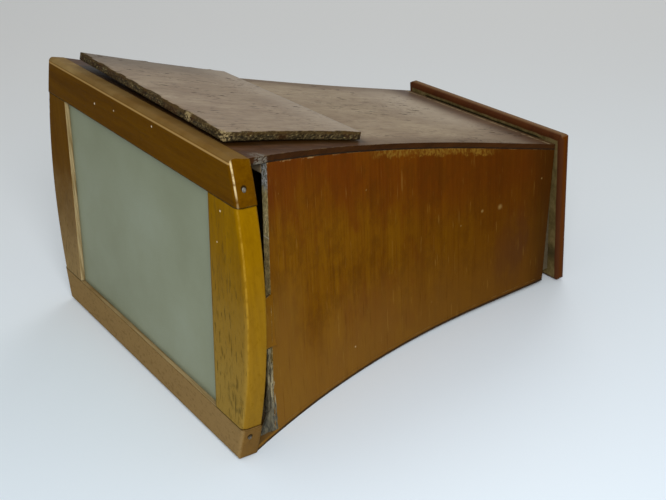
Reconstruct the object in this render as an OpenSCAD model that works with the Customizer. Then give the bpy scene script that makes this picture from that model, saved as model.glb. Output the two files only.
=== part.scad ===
// Lenticular box viewer for stereo cards: a flared wooden case with a ground glass front,
// a hinged light lid, a card slot behind the front frame and a draw-out eyepiece board.
// Millimetres. +Z up, ground glass towards -Y, eyepieces towards +Y, underside on z = 0.

/* [Front frame] */
// Width of the frame at its corners
frame_w = 162; // [150:1:180]
// Height of the frame's back along its own slope
frame_h = 118; // [108:1:128]
// Thickness of the frame bars
frame_t = 7.8; // [7:0.1:10]
// How far each side bows out at half height
frame_bow = 9.9; // [6:0.1:13]
// Angle at which the frame leans back from square to the bottom board
frame_lean = 4.9; // [2:0.1:7]
// Height of the top rail
top_rail_h = 15.2; // [12:0.1:20]
// Height of the bottom rail
bottom_rail_h = 15.3; // [12:0.1:20]
// Width of a stile at its ends
stile_w = 15.4; // [13:0.1:22]
// How far the rail ends stand proud of the stiles
rail_proud = 0.8; // [0:0.1:1.5]
// Rounding of the bottom rail's outer corners
foot_corner = 3; // [1:0.5:5]
// Depth planed off under the frame's lower back edge, so that the part stands flat
foot = 0.3; // [0.2:0.05:0.5]
// Radius of the rounded front edges
frame_round = 2.2; // [1:0.1:3]

/* [Ground glass] */
// Thickness of the ground glass
glass_t = 2; // [1.5:0.1:2.5]
// Depth of wood in front of the glass
lip_t = 2; // [1.6:0.1:4.5]
// How far the glass laps behind the opening
glass_lap = 3.5; // [2.5:0.1:5]
// Play of the glass in its rebate
glass_play = 0.2; // [0.1:0.05:0.5]

/* [Case] */
// Length from the frame's front to the rear end of the case
case_l = 183.5; // [165:0.5:205]
// Outer width of the case at the rear
rear_w = 105.8; // [98:0.2:116]
// Length of the straight part of the sides at the rear
straight_l = 38; // [34:1:50]
// Slope of the top board from the bottom board
top_slope = 16.1; // [13:0.1:18]
// Thickness of the top board
top_t = 2.6; // [2.5:0.1:4]
// Thickness of the bottom board
bottom_t = 2.2; // [2:0.1:4]
// Thickness of the side panels
side_t = 3.6; // [2.5:0.1:4.5]
// Width of the card slot behind the frame, at the top
slot_w = 9.2; // [7:0.1:11]
// How much wider the card slot is at the bottom
slot_taper = 2.6; // [0:0.1:4]
// Depth of the card stops behind the slot
stop_w = 4; // [3:0.1:6]
// Height of the card stops
stop_h = 5; // [4:0.1:8]
// Thickness of the partition between the two views
septum_t = 2; // [1.5:0.1:3]
// Distance of the partition from the frame's front
septum_front = 86; // [82:1:110]

/* [Lid] */
// Length of the lid along the top board
lid_l = 66.5; // [58:0.5:72]
// Thickness of the lid
lid_t = 3.2; // [2.8:0.1:4]
// Inset of the lid from the side of the top board, front corners
lid_inset_front = 17.5; // [12:0.5:22]
// Inset of the lid from the side of the top board, rear corners
lid_inset_rear = 6.1; // [4:0.1:10]
// Hollow of the lid's side edges
lid_hollow = 1.6; // [0.5:0.1:3]
// Angle at which the lid stands ajar
lid_ajar = 0.5; // [0.3:0.1:6]
// Gap between the closed lid and the top board
lid_gap = 0.3; // [0.1:0.05:0.4]
// Width of board left round the window at the sides
window_side = 7; // [5:0.5:12]
// Width of board left in front of the window
window_front = 7; // [5:0.5:12]
// Width of board left behind the window, under the hinges
window_rear = 13; // [11.5:0.5:18]
// Thickness of the reflector sheet under the lid
reflector_t = 0.5; // [0.4:0.1:1]
// Margin between the reflector and the window
reflector_margin = 2.5; // [2:0.1:5]

/* [Hinges] */
// Length of each butt hinge
hinge_l = 16; // [12:1:22]
// Inset of the hinges from the rear corners of the lid
hinge_inset = 10; // [6:1:18]
// Width of a hinge leaf
leaf_w = 8; // [7:0.5:9]
// Thickness of a hinge leaf
leaf_t = 0.8; // [0.6:0.05:1]
// Radius of the hinge knuckle
knuckle_r = 1.5; // [1.3:0.05:1.7]
// Radius of the hinge pin
pin_r = 0.7; // [0.5:0.05:0.8]
// Distance between the two screws of a leaf
screw_pitch = 9; // [7:0.5:10]
// Radius of a screw's shank
screw_r = 0.6; // [0.5:0.05:0.7]
// Radius of a screw's head
screw_head_r = 1.2; // [1:0.05:1.4]

/* [Eyepiece board] */
// Thickness of the eyepiece board
flange_t = 4.8; // [3.8:0.1:6]
// How far the eyepiece board stands out past the case sides
flange_side = 3.2; // [2:0.1:6]
// How far the eyepiece board stands up past the top board
flange_top = 4.4; // [2:0.1:7]
// How far the eyepiece board reaches below the bottom board
flange_drop = 2.5; // [1.5:0.1:4]
// Gap between the eyepiece board and the top board's rear edge
draw_gap = 1.5; // [1.4:0.1:3]
// Length of the draw box inside the case
draw_l = 28; // [24:1:32]
// Thickness of the draw box strips
draw_t = 3; // [2.5:0.1:4]
// Sliding clearance of the draw box
draw_clear = 0.3; // [0.2:0.05:0.6]
// Distance between the lens centres
lens_pitch = 64; // [60:1:68]
// Radius of a lens
lens_r = 13.5; // [12:0.1:14.5]
// Thickness of a lens at its rim
lens_rim_t = 1.8; // [1.4:0.1:2]
// Height of a lens's convex face
lens_dome = 1.9; // [1.2:0.1:2.4]
// Thickness of a lens retaining ring
ring_t = 0.9; // [0.7:0.1:1]
// Width of the ledge that a lens sits against
lens_ledge = 2; // [1.5:0.1:3]
// Wall of an eyepiece rim round its lens
cup_wall = 1.4; // [1.2:0.1:2]
// Width of the shoulder of an eyepiece rim on the board
cup_shoulder = 1.6; // [1.2:0.1:2.4]
// Height of an eyepiece rim behind the board
cup_h = 4.2; // [3.5:0.1:6]
// Width of the nose notch
nose_w = 30; // [22:1:36]
// Height of the nose notch
nose_h = 12; // [8:0.5:16]

/* [Clearances] */
// Gap between fixed pieces that meet on a curved face
fit_gap = 0.1; // [0.05:0.05:0.3]
// Radial running clearance of a hinge pin
run_clear = 0.04; // [0.02:0.01:0.08]
// Gap between hinge knuckles and round them
knuckle_gap = 0.3; // [0.2:0.05:0.5]

/* [Hidden] */
$fn = 64;

// Facets of the large arcs of the case and the frame
arc_fn = 360;
// Reach of the blocks that trim a piece, past any piece
reach = 400;
// Overrun of a cut past the face that it opens
cut = 1;

frame_colour = "#8a5a1c";
case_colour = "#7a3a17";
top_colour = "#6b5145";
raw_colour = "#a48a68";
glass_colour = [0.55, 0.58, 0.52, 0.85];
lens_colour = [0.85, 0.92, 0.95, 0.5];
brass_colour = "#b08d3c";
tin_colour = "#c9c9c4";
dark_colour = "#3a2417";

// The lean turns the frame's own axes (x, depth n, height u) into the case's axes, in which the
// bottom board's underside is level.
lean_s = sin(frame_lean);
lean_c = cos(frame_lean);
slope_t = tan(top_slope);
// The frame's lower back edge is level with that underside, so its front face starts higher.
frame_z = frame_t * lean_s;
function lean_y(n, u) = n * lean_c + u * lean_s;
function lean_z(n, u) = frame_z + u * lean_c - n * lean_s;

// The top board's upper face passes through the frame's upper back edge.
top_y = lean_y(frame_t, frame_h);
top_z = lean_z(frame_t, frame_h);
// Height along the frame's slope of the face that lies under the top board's upper face
function under_top(n, depth) =
    (top_z - frame_z + n * lean_s - slope_t * (n * lean_c - top_y) - depth / cos(top_slope))
    / (lean_c + slope_t * lean_s);

// Plan of the case: an arc that meets the straight rear part without a corner
flare_n = case_l - straight_l;
flare_d = (frame_w - rear_w) / 2;
flare_r = (pow(flare_n - frame_t, 2) + pow(flare_d, 2)) / (2 * flare_d);
function case_half(n) = rear_w / 2 + flare_r - sqrt(pow(flare_r, 2) - pow(flare_n - n, 2));

// Frame
bow_r = (pow(frame_h / 2, 2) + pow(frame_bow, 2)) / (2 * frame_bow);
bow_half = frame_w / 2 + frame_bow;
opening_w = frame_w - 2 * stile_w;
// The top rail's upper face runs on in line with the top board, so its front edge is higher.
rail_slope = top_slope - frame_lean;
rail_peak = frame_h + frame_t * tan(rail_slope);
stile_h = frame_h - top_rail_h - bottom_rail_h;
slip_t = frame_t - lip_t - glass_t;
rebate_w = opening_w + 2 * glass_lap;
rebate_h = stile_h + 2 * glass_lap;
rebate_z = bottom_rail_h - glass_lap;
slot_end = frame_t + slot_w;
slot_tilt = atan(slot_taper / frame_h);

// Rear end of the case and the eyepiece board behind it
rear_u = under_top(case_l, 0);
rear_top_z = lean_z(case_l, rear_u);
flange_y = lean_y(case_l, rear_u) + draw_gap;
flange_w = rear_w + 2 * flange_side;
flange_h = rear_top_z + flange_top + flange_drop;
flange_round = flange_t / 2 - fit_gap;
flange_corner = 3.5;
lens_z = flange_h / 2 - flange_drop;
draw_half = rear_w / 2 - side_t - draw_clear;
draw_low = bottom_t + draw_clear;
draw_high = lean_z(case_l, under_top(case_l, top_t)) - draw_clear;

// Lid, in the axes of the top board: x, distance d from the frame's back, height h
lid_front = 0;
lid_rear = lid_front + lid_l;
lid_rear_n = (top_y + lid_rear * cos(top_slope)) * lean_c
    - (top_z - lid_rear * sin(top_slope) - frame_z) * lean_s;
lid_front_half = frame_w / 2 - lid_inset_front;
lid_rear_half = case_half(lid_rear_n) - lid_inset_rear;
lid_chord = sqrt(pow(lid_l, 2) + pow(lid_front_half - lid_rear_half, 2));
lid_edge_r = (pow(lid_chord / 2, 2) + pow(lid_hollow, 2)) / (2 * lid_hollow);
window_front_d = lid_front + window_front;
window_rear_d = lid_rear - window_rear;
function lid_half(d) = lid_front_half + (lid_rear_half - lid_front_half) * (d - lid_front) / lid_l;

// Hinges
hinge_x = lid_rear_half - hinge_inset - hinge_l / 2;
pin_d = lid_rear + knuckle_r + knuckle_gap;
pin_h = lid_gap / 2;
leaf_front = lid_rear - leaf_w;
knuckle_l = (hinge_l - 2 * knuckle_gap) / 3;
screw_d = leaf_front + leaf_w / 2;
screw_head_t = leaf_t / 2;
screw_depth = leaf_t + 1.6;

// Eyepieces
seat_r = lens_r + fit_gap;
spigot_r = seat_r + cup_wall;
shoulder_r = spigot_r + cup_shoulder;
spigot_s = flange_t - lens_rim_t - ring_t - lens_ledge / 2;
lens_s = spigot_s + ring_t;
ledge_s = lens_s + lens_rim_t;
eye_r = lens_r - lens_ledge;
dome_r = (pow(eye_r, 2) + pow(lens_dome, 2)) / (2 * lens_dome);
nose_r = (pow(nose_w / 2, 2) + pow(nose_h, 2)) / (2 * nose_h);

// The part stands on the frame's lower edge and on the eyepiece board, which tips the case a little.
foot_y = lean_y(frame_t, 0);
stand_l = flange_y + flange_round - foot_y;
stand_h = flange_round - flange_drop;
case_tilt = asin((foot + flange_round) / sqrt(pow(stand_l, 2) + pow(stand_h, 2))) - atan2(stand_h, stand_l);
function tilt_y(y, z) = foot_y + (y - foot_y) * cos(case_tilt) - z * sin(case_tilt);

// The part's origin lies under the middle of its length.
cup_bead = cup_h / 3;
front_y = tilt_y(lean_y(frame_round, frame_round), lean_z(frame_round, frame_round)) - frame_round;
rear_y = tilt_y(flange_y + flange_t + cup_h - cup_bead, lens_z - shoulder_r + cup_bead) + cup_bead;
mid_y = (front_y + rear_y) / 2;

// Axes of the part's pieces

// The case's place, tipped on its foot, with its middle over the origin
module placed() {
    translate([0, foot_y - mid_y, -foot]) rotate([case_tilt, 0, 0]) translate([0, -foot_y, 0]) children();
}

// The frame's axes: x, depth behind the front face, height along the slope
module lean() {
    placed() translate([0, 0, frame_z]) rotate([-frame_lean, 0, 0]) children();
}

// The top board's axes: x, distance behind the frame, height over its upper face
module on_top() {
    placed() translate([0, top_y, top_z]) rotate([-top_slope, 0, 0]) children();
}

// The lid's axes: those of the top board, turned by the lid's angle about the hinge pin
module on_lid() {
    on_top() translate([0, pin_d, pin_h]) rotate([-lid_ajar, 0, 0])
        translate([0, -pin_d, -pin_h]) children();
}

// The axis of one eyepiece, from the board's front face to the rear
module on_eye(side) {
    placed() translate([side * lens_pitch / 2, flange_y, lens_z]) rotate([-90, 0, 0]) children();
}

// Common outlines and blocks

// A block of the given low and high corners
module block(low, high) {
    translate(low) cube(high - low);
}

// A rectangle from the origin with its corners rounded where round is 1: low left, low right,
// high right, high left
module rounded(w, h, r, round) {
    corners = [[0, 0], [w, 0], [w, h], [0, h]];
    inward = [[1, 1], [-1, 1], [-1, -1], [1, -1]];
    difference() {
        square([w, h]);
        for (i = [0:3]) if (round[i] == 1) {
            difference() {
                translate(corners[i] + (inward[i] - [1, 1]) * r / 2) square(r);
                translate(corners[i] + inward[i] * r) circle(r);
            }
        }
    }
}

// All the room over the table
module over_table() {
    block([-reach, -reach, 0], [reach, reach, reach]);
}

// Plan of the case, drawn in by inset from its outer faces, between two depths
module case_plan(inset, low, high) {
    half = rear_w / 2 - inset;
    difference() {
        translate([-frame_w, low]) square([2 * frame_w, min(high, flare_n) - low]);
        for (side = [-1, 1]) translate([side * (rear_w / 2 + flare_r), flare_n])
            circle(flare_r + inset, $fn = arc_fn);
    }
    if (high > flare_n) translate([-half, flare_n]) square([2 * half, high - flare_n]);
}

// A tall column over the plan of the case
module case_column(inset, low, high) {
    lean() translate([0, 0, -reach / 4]) linear_extrude(reach) case_plan(inset, low, high);
}

// The room between the bottom board and a level under the top board's upper face
module between_boards(low, depth) {
    intersection() {
        placed() block([-reach, -reach, low], [reach, reach, reach]);
        on_top() block([-reach, -reach, -reach], [reach, reach, -depth]);
    }
}

// Front frame

// A thick disc whose rim is one bowed side of the frame, rounded at the front
module bow_disc(side, proud) {
    r = bow_r + proud;
    translate([side * (bow_half - bow_r), 0, frame_h / 2]) rotate([-90, 0, 0])
        rotate_extrude($fn = arc_fn) rounded(r, frame_t, frame_round, [0, 1, 0, 0]);
}

// Section of the frame from front to back: rounded in front, and sloped on top
module frame_section() {
    r = frame_round;
    u = frame_h + (frame_t - r) * tan(rail_slope) - r / cos(rail_slope);
    out = r + cut;
    difference() {
        polygon([[0, 0], [frame_t, 0], [frame_t, frame_h], [0, rail_peak]]);
        difference() {
            polygon([[r, u], [-cut, u], [-cut, rail_peak + cut],
                [r + out * sin(rail_slope), u + out * cos(rail_slope)]]);
            translate([r, u]) circle(r);
        }
        difference() {
            translate([-cut, -cut]) square(r + cut);
            translate([r, r]) circle(r);
        }
    }
}

// The frame's outer form, with rounded front edges all round
module frame_blank(proud) {
    intersection() {
        translate([-frame_w, 0, 0]) rotate([90, 0, 90]) linear_extrude(2 * frame_w) frame_section();
        bow_disc(1, proud);
        bow_disc(-1, proud);
    }
}

// The rebate for the glass, cut from the back
module glass_rebate() {
    block([-rebate_w / 2, lip_t, rebate_z], [rebate_w / 2, frame_t + cut, rebate_z + rebate_h]);
}

module frame_rail(low, high) {
    color(frame_colour) lean() difference() {
        intersection() {
            frame_blank(rail_proud);
            block([-reach, -cut, low], [reach, frame_t + cut, high]);
        }
        glass_rebate();
    }
}

module frame_top_rail() {
    frame_rail(frame_h - top_rail_h, rail_peak + cut);
}

// What is taken off one lower corner of the bottom rail, to round it
module corner_waste() {
    r = foot_corner;
    rim_r = bow_r + rail_proud - r;
    side = sqrt(pow(rim_r, 2) - pow(frame_h / 2 - r, 2));
    middle = [bow_half - bow_r + side, r];
    out = [side, r - frame_h / 2] / rim_r;
    translate([0, frame_t + cut, 0]) rotate([90, 0, 0]) linear_extrude(frame_t + 2 * cut) difference() {
        polygon([middle, [middle.x, -cut], [middle.x + 4 * r, -cut], middle + (r + cut) * out]);
        translate(middle) circle(r);
    }
}

// The bottom rail is planed to the table on its lower edge.
module frame_bottom_rail() {
    color(frame_colour) intersection() {
        difference() {
            frame_rail(-cut, bottom_rail_h);
            lean() corner_waste();
            lean() mirror([1, 0, 0]) corner_waste();
        }
        over_table();
    }
}

module frame_stile(side) {
    inner = opening_w / 2;
    color(frame_colour) lean() difference() {
        intersection() {
            frame_blank(0);
            translate([side > 0 ? inner : -inner - reach, -cut, bottom_rail_h])
                cube([reach, frame_t + 2 * cut, stile_h]);
        }
        glass_rebate();
    }
}

module frame_left_stile() {
    frame_stile(-1);
}

module frame_right_stile() {
    frame_stile(1);
}

module ground_glass() {
    half = rebate_w / 2 - glass_play;
    color(glass_colour) lean()
        block([-half, lip_t, rebate_z + glass_play],
            [half, lip_t + glass_t, rebate_z + rebate_h - glass_play]);
}

// Slips that hold the glass in its rebate, flush with the back of the frame
module glazing_slip(low, high) {
    color(raw_colour) lean()
        block([low.x, lip_t + glass_t, low.y], [high.x, frame_t, high.y]);
}

module top_glazing_slip() {
    glazing_slip([-rebate_w / 2, rebate_z + rebate_h - glass_lap], [rebate_w / 2, rebate_z + rebate_h]);
}

module bottom_glazing_slip() {
    glazing_slip([-rebate_w / 2, rebate_z], [rebate_w / 2, rebate_z + glass_lap]);
}

module left_glazing_slip() {
    glazing_slip([-rebate_w / 2, rebate_z + glass_lap], [-opening_w / 2, rebate_z + rebate_h - glass_lap]);
}

module right_glazing_slip() {
    glazing_slip([opening_w / 2, rebate_z + glass_lap], [rebate_w / 2, rebate_z + rebate_h - glass_lap]);
}

// Case

// The bottom board's front end is planed to the table with the rail.
module bottom_board() {
    color(case_colour) intersection() {
        case_column(0, frame_t, case_l);
        placed() block([-reach, -reach, 0], [reach, reach, bottom_t]);
        over_table();
    }
}

// Outline of the light window, drawn in by margin
module window_outline(margin) {
    front = window_front_d + margin;
    rear = window_rear_d - margin;
    front_half = lid_half(front) - window_side - margin;
    rear_half = lid_half(rear) - window_side - margin;
    polygon([[-front_half, front], [front_half, front], [rear_half, rear], [-rear_half, rear]]);
}

module top_board() {
    room = knuckle_r + knuckle_gap;
    color(top_colour) difference() {
        intersection() {
            case_column(0, frame_t, case_l);
            on_top() block([-reach, -reach, -top_t], [reach, reach, 0]);
        }
        on_top() {
            translate([0, 0, -top_t - cut]) linear_extrude(top_t + 2 * cut) window_outline(0);
            for (side = [-1, 1]) translate([side * hinge_x, 0, 0]) {
                // Recess for the body leaf
                block([-hinge_l / 2 - fit_gap, leaf_front - fit_gap, -leaf_t],
                    [hinge_l / 2 + fit_gap, pin_d, cut]);
                // Recess for the knuckles
                block([-hinge_l / 2 - knuckle_gap, pin_d - room, pin_h - room],
                    [hinge_l / 2 + knuckle_gap, pin_d + room, cut]);
                for (end = [-1, 1]) translate([end * screw_pitch / 2, screw_d, -screw_depth])
                    cylinder(h = screw_depth, r = screw_r + run_clear);
            }
        }
    }
}

module side_panel(side) {
    color(case_colour) intersection() {
        lean() translate([0, 0, -reach / 4]) linear_extrude(reach) intersection() {
            difference() {
                case_plan(0, frame_t, case_l);
                case_plan(side_t, frame_t - cut, case_l + cut);
            }
            translate([side > 0 ? 0 : -reach, 0]) square(reach);
        }
        between_boards(bottom_t, top_t);
        // The front edge leans a little less than the frame, which widens the slot downwards.
        lean() translate([0, slot_end, frame_h]) rotate([slot_tilt, 0, 0])
            block([-reach, 0, -reach], [reach, reach, reach]);
    }
}

module left_side_panel() {
    side_panel(-1);
}

module right_side_panel() {
    side_panel(1);
}

// Strips that keep a card upright behind the slot
module top_card_stop() {
    color(raw_colour) intersection() {
        case_column(side_t + fit_gap, slot_end + fit_gap, slot_end + stop_w);
        between_boards(bottom_t, top_t);
        on_top() block([-reach, -reach, -top_t - stop_h], [reach, reach, 0]);
    }
}

module bottom_card_stop() {
    color(raw_colour) intersection() {
        case_column(side_t + fit_gap, slot_end + slot_taper, slot_end + slot_taper + stop_w);
        placed() block([-reach, -reach, bottom_t], [reach, reach, bottom_t + stop_h]);
    }
}

// Upright partition that keeps the two views apart, clear of the draw box
module septum() {
    rear = flange_y - draw_l - draw_gap - 1;
    color(raw_colour) intersection() {
        lean() block([-septum_t / 2, septum_front, -reach], [septum_t / 2, reach, reach]);
        between_boards(bottom_t, top_t);
        placed() block([-reach, -reach, 0], [reach, rear, reach]);
    }
}

// Lid

module lid_outline() {
    middle = (lid_front + lid_rear) / 2;
    turn = atan2(lid_front_half - lid_rear_half, lid_l);
    difference() {
        polygon([[-lid_front_half, lid_front], [lid_front_half, lid_front],
            [lid_rear_half, lid_rear], [-lid_rear_half, lid_rear]]);
        for (side = [-1, 1]) {
            out = lid_edge_r - lid_hollow;
            translate([side * (lid_half(middle) + out * cos(turn)), middle + out * sin(turn)])
                circle(lid_edge_r, $fn = arc_fn);
        }
    }
}

module lid_board() {
    color(top_colour) on_lid() difference() {
        translate([0, 0, lid_gap]) linear_extrude(lid_t) lid_outline();
        for (side = [-1, 1]) translate([side * hinge_x, 0, 0]) {
            block([-hinge_l / 2 - fit_gap, leaf_front - fit_gap, -cut],
                [hinge_l / 2 + fit_gap, lid_rear + cut, lid_gap + leaf_t]);
            for (end = [-1, 1]) translate([end * screw_pitch / 2, screw_d, lid_gap])
                cylinder(h = screw_depth, r = screw_r + run_clear);
        }
    }
}

module lid_reflector() {
    color(tin_colour) on_lid() translate([0, 0, lid_gap - reflector_t])
        linear_extrude(reflector_t) window_outline(reflector_margin);
}

// Holes of a leaf's two screws, with their sunk heads on the inner face
module leaf_screw_holes(up) {
    for (end = [-1, 1]) translate([end * screw_pitch / 2, screw_d, 0]) mirror([0, 0, up > 0 ? 0 : 1]) {
        translate([0, 0, -cut]) cylinder(h = leaf_t + 2 * cut, r = screw_r + run_clear);
        translate([0, 0, -cut]) cylinder(h = screw_head_t + cut, r = screw_head_r + run_clear);
    }
}

// A round bar along the hinge pin
module pin_bar(from, length, r) {
    translate([from, pin_d, pin_h]) rotate([0, 90, 0]) cylinder(h = length, r = r);
}

// The lid's leaf has the middle knuckle
module hinge_lid_leaf(side) {
    color(brass_colour) on_lid() translate([side * hinge_x, 0, 0]) difference() {
        union() {
            block([-hinge_l / 2, leaf_front, lid_gap], [hinge_l / 2, lid_rear, lid_gap + leaf_t]);
            block([-knuckle_l / 2, lid_rear - cut, lid_gap], [knuckle_l / 2, pin_d, lid_gap + leaf_t]);
            pin_bar(-knuckle_l / 2, knuckle_l, knuckle_r);
        }
        pin_bar(-hinge_l, 2 * hinge_l, pin_r + run_clear);
        translate([0, 0, lid_gap]) leaf_screw_holes(1);
    }
}

module left_hinge_lid_leaf() {
    hinge_lid_leaf(-1);
}

module right_hinge_lid_leaf() {
    hinge_lid_leaf(1);
}

// The case's leaf has the two outer knuckles
module hinge_body_leaf(side) {
    color(brass_colour) on_top() translate([side * hinge_x, 0, 0]) difference() {
        union() {
            block([-hinge_l / 2, leaf_front, -leaf_t], [hinge_l / 2, lid_rear, 0]);
            for (end = [0, 1]) mirror([end, 0, 0]) {
                block([hinge_l / 2 - knuckle_l, lid_rear - cut, -leaf_t], [hinge_l / 2, pin_d, 0]);
                pin_bar(hinge_l / 2 - knuckle_l, knuckle_l, knuckle_r);
            }
        }
        pin_bar(-hinge_l, 2 * hinge_l, pin_r + run_clear / 2);
        leaf_screw_holes(-1);
    }
}

module left_hinge_body_leaf() {
    hinge_body_leaf(-1);
}

module right_hinge_body_leaf() {
    hinge_body_leaf(1);
}

module hinge_pin(side) {
    color(brass_colour) on_top() translate([side * hinge_x, 0, 0]) pin_bar(-hinge_l / 2, hinge_l, pin_r);
}

module left_hinge_pin() {
    hinge_pin(-1);
}

module right_hinge_pin() {
    hinge_pin(1);
}

// A screw from the inner face of a leaf into the wood
module hinge_screw() {
    cylinder(h = screw_depth - run_clear, r = screw_r);
    cylinder(h = screw_head_t, r = screw_head_r);
}

module hinge_screw_set() {
    for (side = [-1, 1]) for (end = [-1, 1])
        translate([side * hinge_x + end * screw_pitch / 2, screw_d, 0]) children();
}

module lid_hinge_screws() {
    color(brass_colour) on_lid() hinge_screw_set() translate([0, 0, lid_gap]) hinge_screw();
}

module body_hinge_screws() {
    color(brass_colour) on_top() hinge_screw_set() mirror([0, 0, 1]) hinge_screw();
}

// Eyepiece board and its draw box

module eyepiece_board() {
    low = [-flange_w / 2, flange_y, -flange_drop];
    color(case_colour) difference() {
        placed() intersection() {
            translate(low + [0, flange_t, 0]) rotate([90, 0, 0]) linear_extrude(flange_t)
                rounded(flange_w, flange_h, flange_corner, [1, 1, 1, 1]);
            translate(low) linear_extrude(flange_h) rounded(flange_w, flange_t, flange_round, [1, 1, 1, 1]);
            translate(low) rotate([90, 0, 90]) linear_extrude(flange_w)
                rounded(flange_t, flange_h, flange_round, [1, 1, 1, 1]);
        }
        for (side = [-1, 1]) on_eye(side) translate([0, 0, -cut])
            cylinder(h = flange_t + 2 * cut, r = spigot_r + fit_gap);
        placed() translate([0, flange_y - cut, nose_h - flange_drop - nose_r]) rotate([-90, 0, 0])
            cylinder(h = flange_t + 2 * cut, r = nose_r, $fn = arc_fn);
    }
}

// One strip of the draw box, between two corners in x and z
module draw_strip(low, high) {
    color(raw_colour) placed()
        block([low.x, flange_y - draw_l, low.y], [high.x, flange_y, high.y]);
}

module draw_left_strip() {
    draw_strip([-draw_half, draw_low], [-draw_half + draw_t, draw_high]);
}

module draw_right_strip() {
    draw_strip([draw_half - draw_t, draw_low], [draw_half, draw_high]);
}

module draw_top_strip() {
    draw_strip([-draw_half + draw_t, draw_high - draw_t], [draw_half - draw_t, draw_high]);
}

module draw_bottom_strip() {
    draw_strip([-draw_half + draw_t, draw_low], [draw_half - draw_t, draw_low + draw_t]);
}

// Turned rim: a spigot in the board holds the lens, and a low dished shoulder frames the eye
module eyepiece_rim(side) {
    end = flange_t + cup_h;
    color(dark_colour) on_eye(side) difference() {
        union() {
            translate([0, 0, spigot_s]) cylinder(h = end - spigot_s, r = spigot_r);
            translate([0, 0, flange_t]) rotate_extrude()
                rounded(shoulder_r, cup_h, cup_bead, [0, 0, 1, 0]);
        }
        translate([0, 0, spigot_s - cut]) cylinder(h = ledge_s - spigot_s + cut, r = seat_r);
        cylinder(h = end + cut, r = eye_r);
        translate([0, 0, ledge_s + lens_dome]) cylinder(h = end - ledge_s - lens_dome, r1 = eye_r, r2 = seat_r);
    }
}

module left_eyepiece_rim() {
    eyepiece_rim(-1);
}

module right_eyepiece_rim() {
    eyepiece_rim(1);
}

// Plano-convex lens, domed towards the eye
module eye_lens(side) {
    color(lens_colour) on_eye(side) {
        translate([0, 0, lens_s]) cylinder(h = lens_rim_t, r = lens_r);
        intersection() {
            translate([0, 0, ledge_s - cut]) cylinder(h = lens_dome + 2 * cut, r = eye_r - fit_gap);
            translate([0, 0, ledge_s + lens_dome - dome_r]) sphere(dome_r, $fn = arc_fn);
        }
    }
}

module left_lens() {
    eye_lens(-1);
}

module right_lens() {
    eye_lens(1);
}

module lens_ring(side) {
    color(brass_colour) on_eye(side) translate([0, 0, spigot_s]) difference() {
        cylinder(h = ring_t, r = lens_r);
        translate([0, 0, -cut]) cylinder(h = ring_t + 2 * cut, r = eye_r);
    }
}

module left_lens_ring() {
    lens_ring(-1);
}

module right_lens_ring() {
    lens_ring(1);
}

frame_top_rail();
frame_bottom_rail();
frame_left_stile();
frame_right_stile();
ground_glass();
top_glazing_slip();
bottom_glazing_slip();
left_glazing_slip();
right_glazing_slip();
bottom_board();
top_board();
left_side_panel();
right_side_panel();
top_card_stop();
bottom_card_stop();
septum();
lid_board();
lid_reflector();
left_hinge_lid_leaf();
right_hinge_lid_leaf();
left_hinge_body_leaf();
right_hinge_body_leaf();
left_hinge_pin();
right_hinge_pin();
lid_hinge_screws();
body_hinge_screws();
eyepiece_board();
draw_left_strip();
draw_right_strip();
draw_top_strip();
draw_bottom_strip();
left_eyepiece_rim();
right_eyepiece_rim();
left_lens();
right_lens();
left_lens_ring();
right_lens_ring();
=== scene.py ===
# Looks of a wooden box stereoscope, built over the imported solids
import math
from functools import partialmethod
import bpy
from mathutils import Matrix, Vector


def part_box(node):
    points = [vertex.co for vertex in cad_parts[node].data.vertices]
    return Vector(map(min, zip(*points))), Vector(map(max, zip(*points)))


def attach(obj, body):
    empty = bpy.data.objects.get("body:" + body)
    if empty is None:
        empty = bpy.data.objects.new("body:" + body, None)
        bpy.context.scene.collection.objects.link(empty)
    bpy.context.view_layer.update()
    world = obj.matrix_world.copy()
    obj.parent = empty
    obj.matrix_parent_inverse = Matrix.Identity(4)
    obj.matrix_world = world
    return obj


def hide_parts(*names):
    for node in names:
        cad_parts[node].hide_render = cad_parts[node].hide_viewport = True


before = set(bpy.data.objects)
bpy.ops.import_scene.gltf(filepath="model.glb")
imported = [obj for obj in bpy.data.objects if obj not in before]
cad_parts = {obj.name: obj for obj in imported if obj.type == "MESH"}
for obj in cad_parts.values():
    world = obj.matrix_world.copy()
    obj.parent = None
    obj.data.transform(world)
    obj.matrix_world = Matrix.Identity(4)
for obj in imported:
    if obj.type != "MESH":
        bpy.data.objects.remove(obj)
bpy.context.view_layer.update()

# Directions, and the millimetres in a metre, because the finishes measure in millimetres
ORIGIN = (0.0, 0.0, 0.0)
RIGHT = (1.0, 0.0, 0.0)
FRONT = (0.0, -1.0, 0.0)
BACK = (0.0, 1.0, 0.0)
UP = (0.0, 0.0, 1.0)
DOWN = (0.0, 0.0, -1.0)
MM = 1000.0

# Sizes that the looks share with the solids, in metres
FRAME_LEAN = math.radians(4.0373)
FRAME_FOOT = Vector((0.0, -0.092358, -0.0003))
FRAME_UP = Vector((0.0, math.sin(FRAME_LEAN), math.cos(FRAME_LEAN)))
FRAME_BACK = Vector((0.0, math.cos(FRAME_LEAN), -math.sin(FRAME_LEAN)))
FRAME_T = 0.0078
FRAME_H = 0.118
LOWER_JOINT = 0.0153
UPPER_JOINT = 0.1028
OPENING_HALF = 0.0656
BOW_CENTRE = -0.089858
BOW_RADIUS = 0.180758
RAIL_PROUD = 0.0008
TOP_SLOPE = math.radians(15.2373)
TOP_EDGE = Vector((0.0, -0.08405, 0.117407))
FLARE_RADIUS = 0.3405
FLARE_CENTRE = Vector((0.3934, 0.0512, 0.0))
TOP_UP = Vector((0.0, math.sin(TOP_SLOPE), math.cos(TOP_SLOPE)))
TOP_BACK = Vector((0.0, math.cos(TOP_SLOPE), -math.sin(TOP_SLOPE)))
LID_LIFT = 0.0021
LID_T = 0.0032
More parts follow.
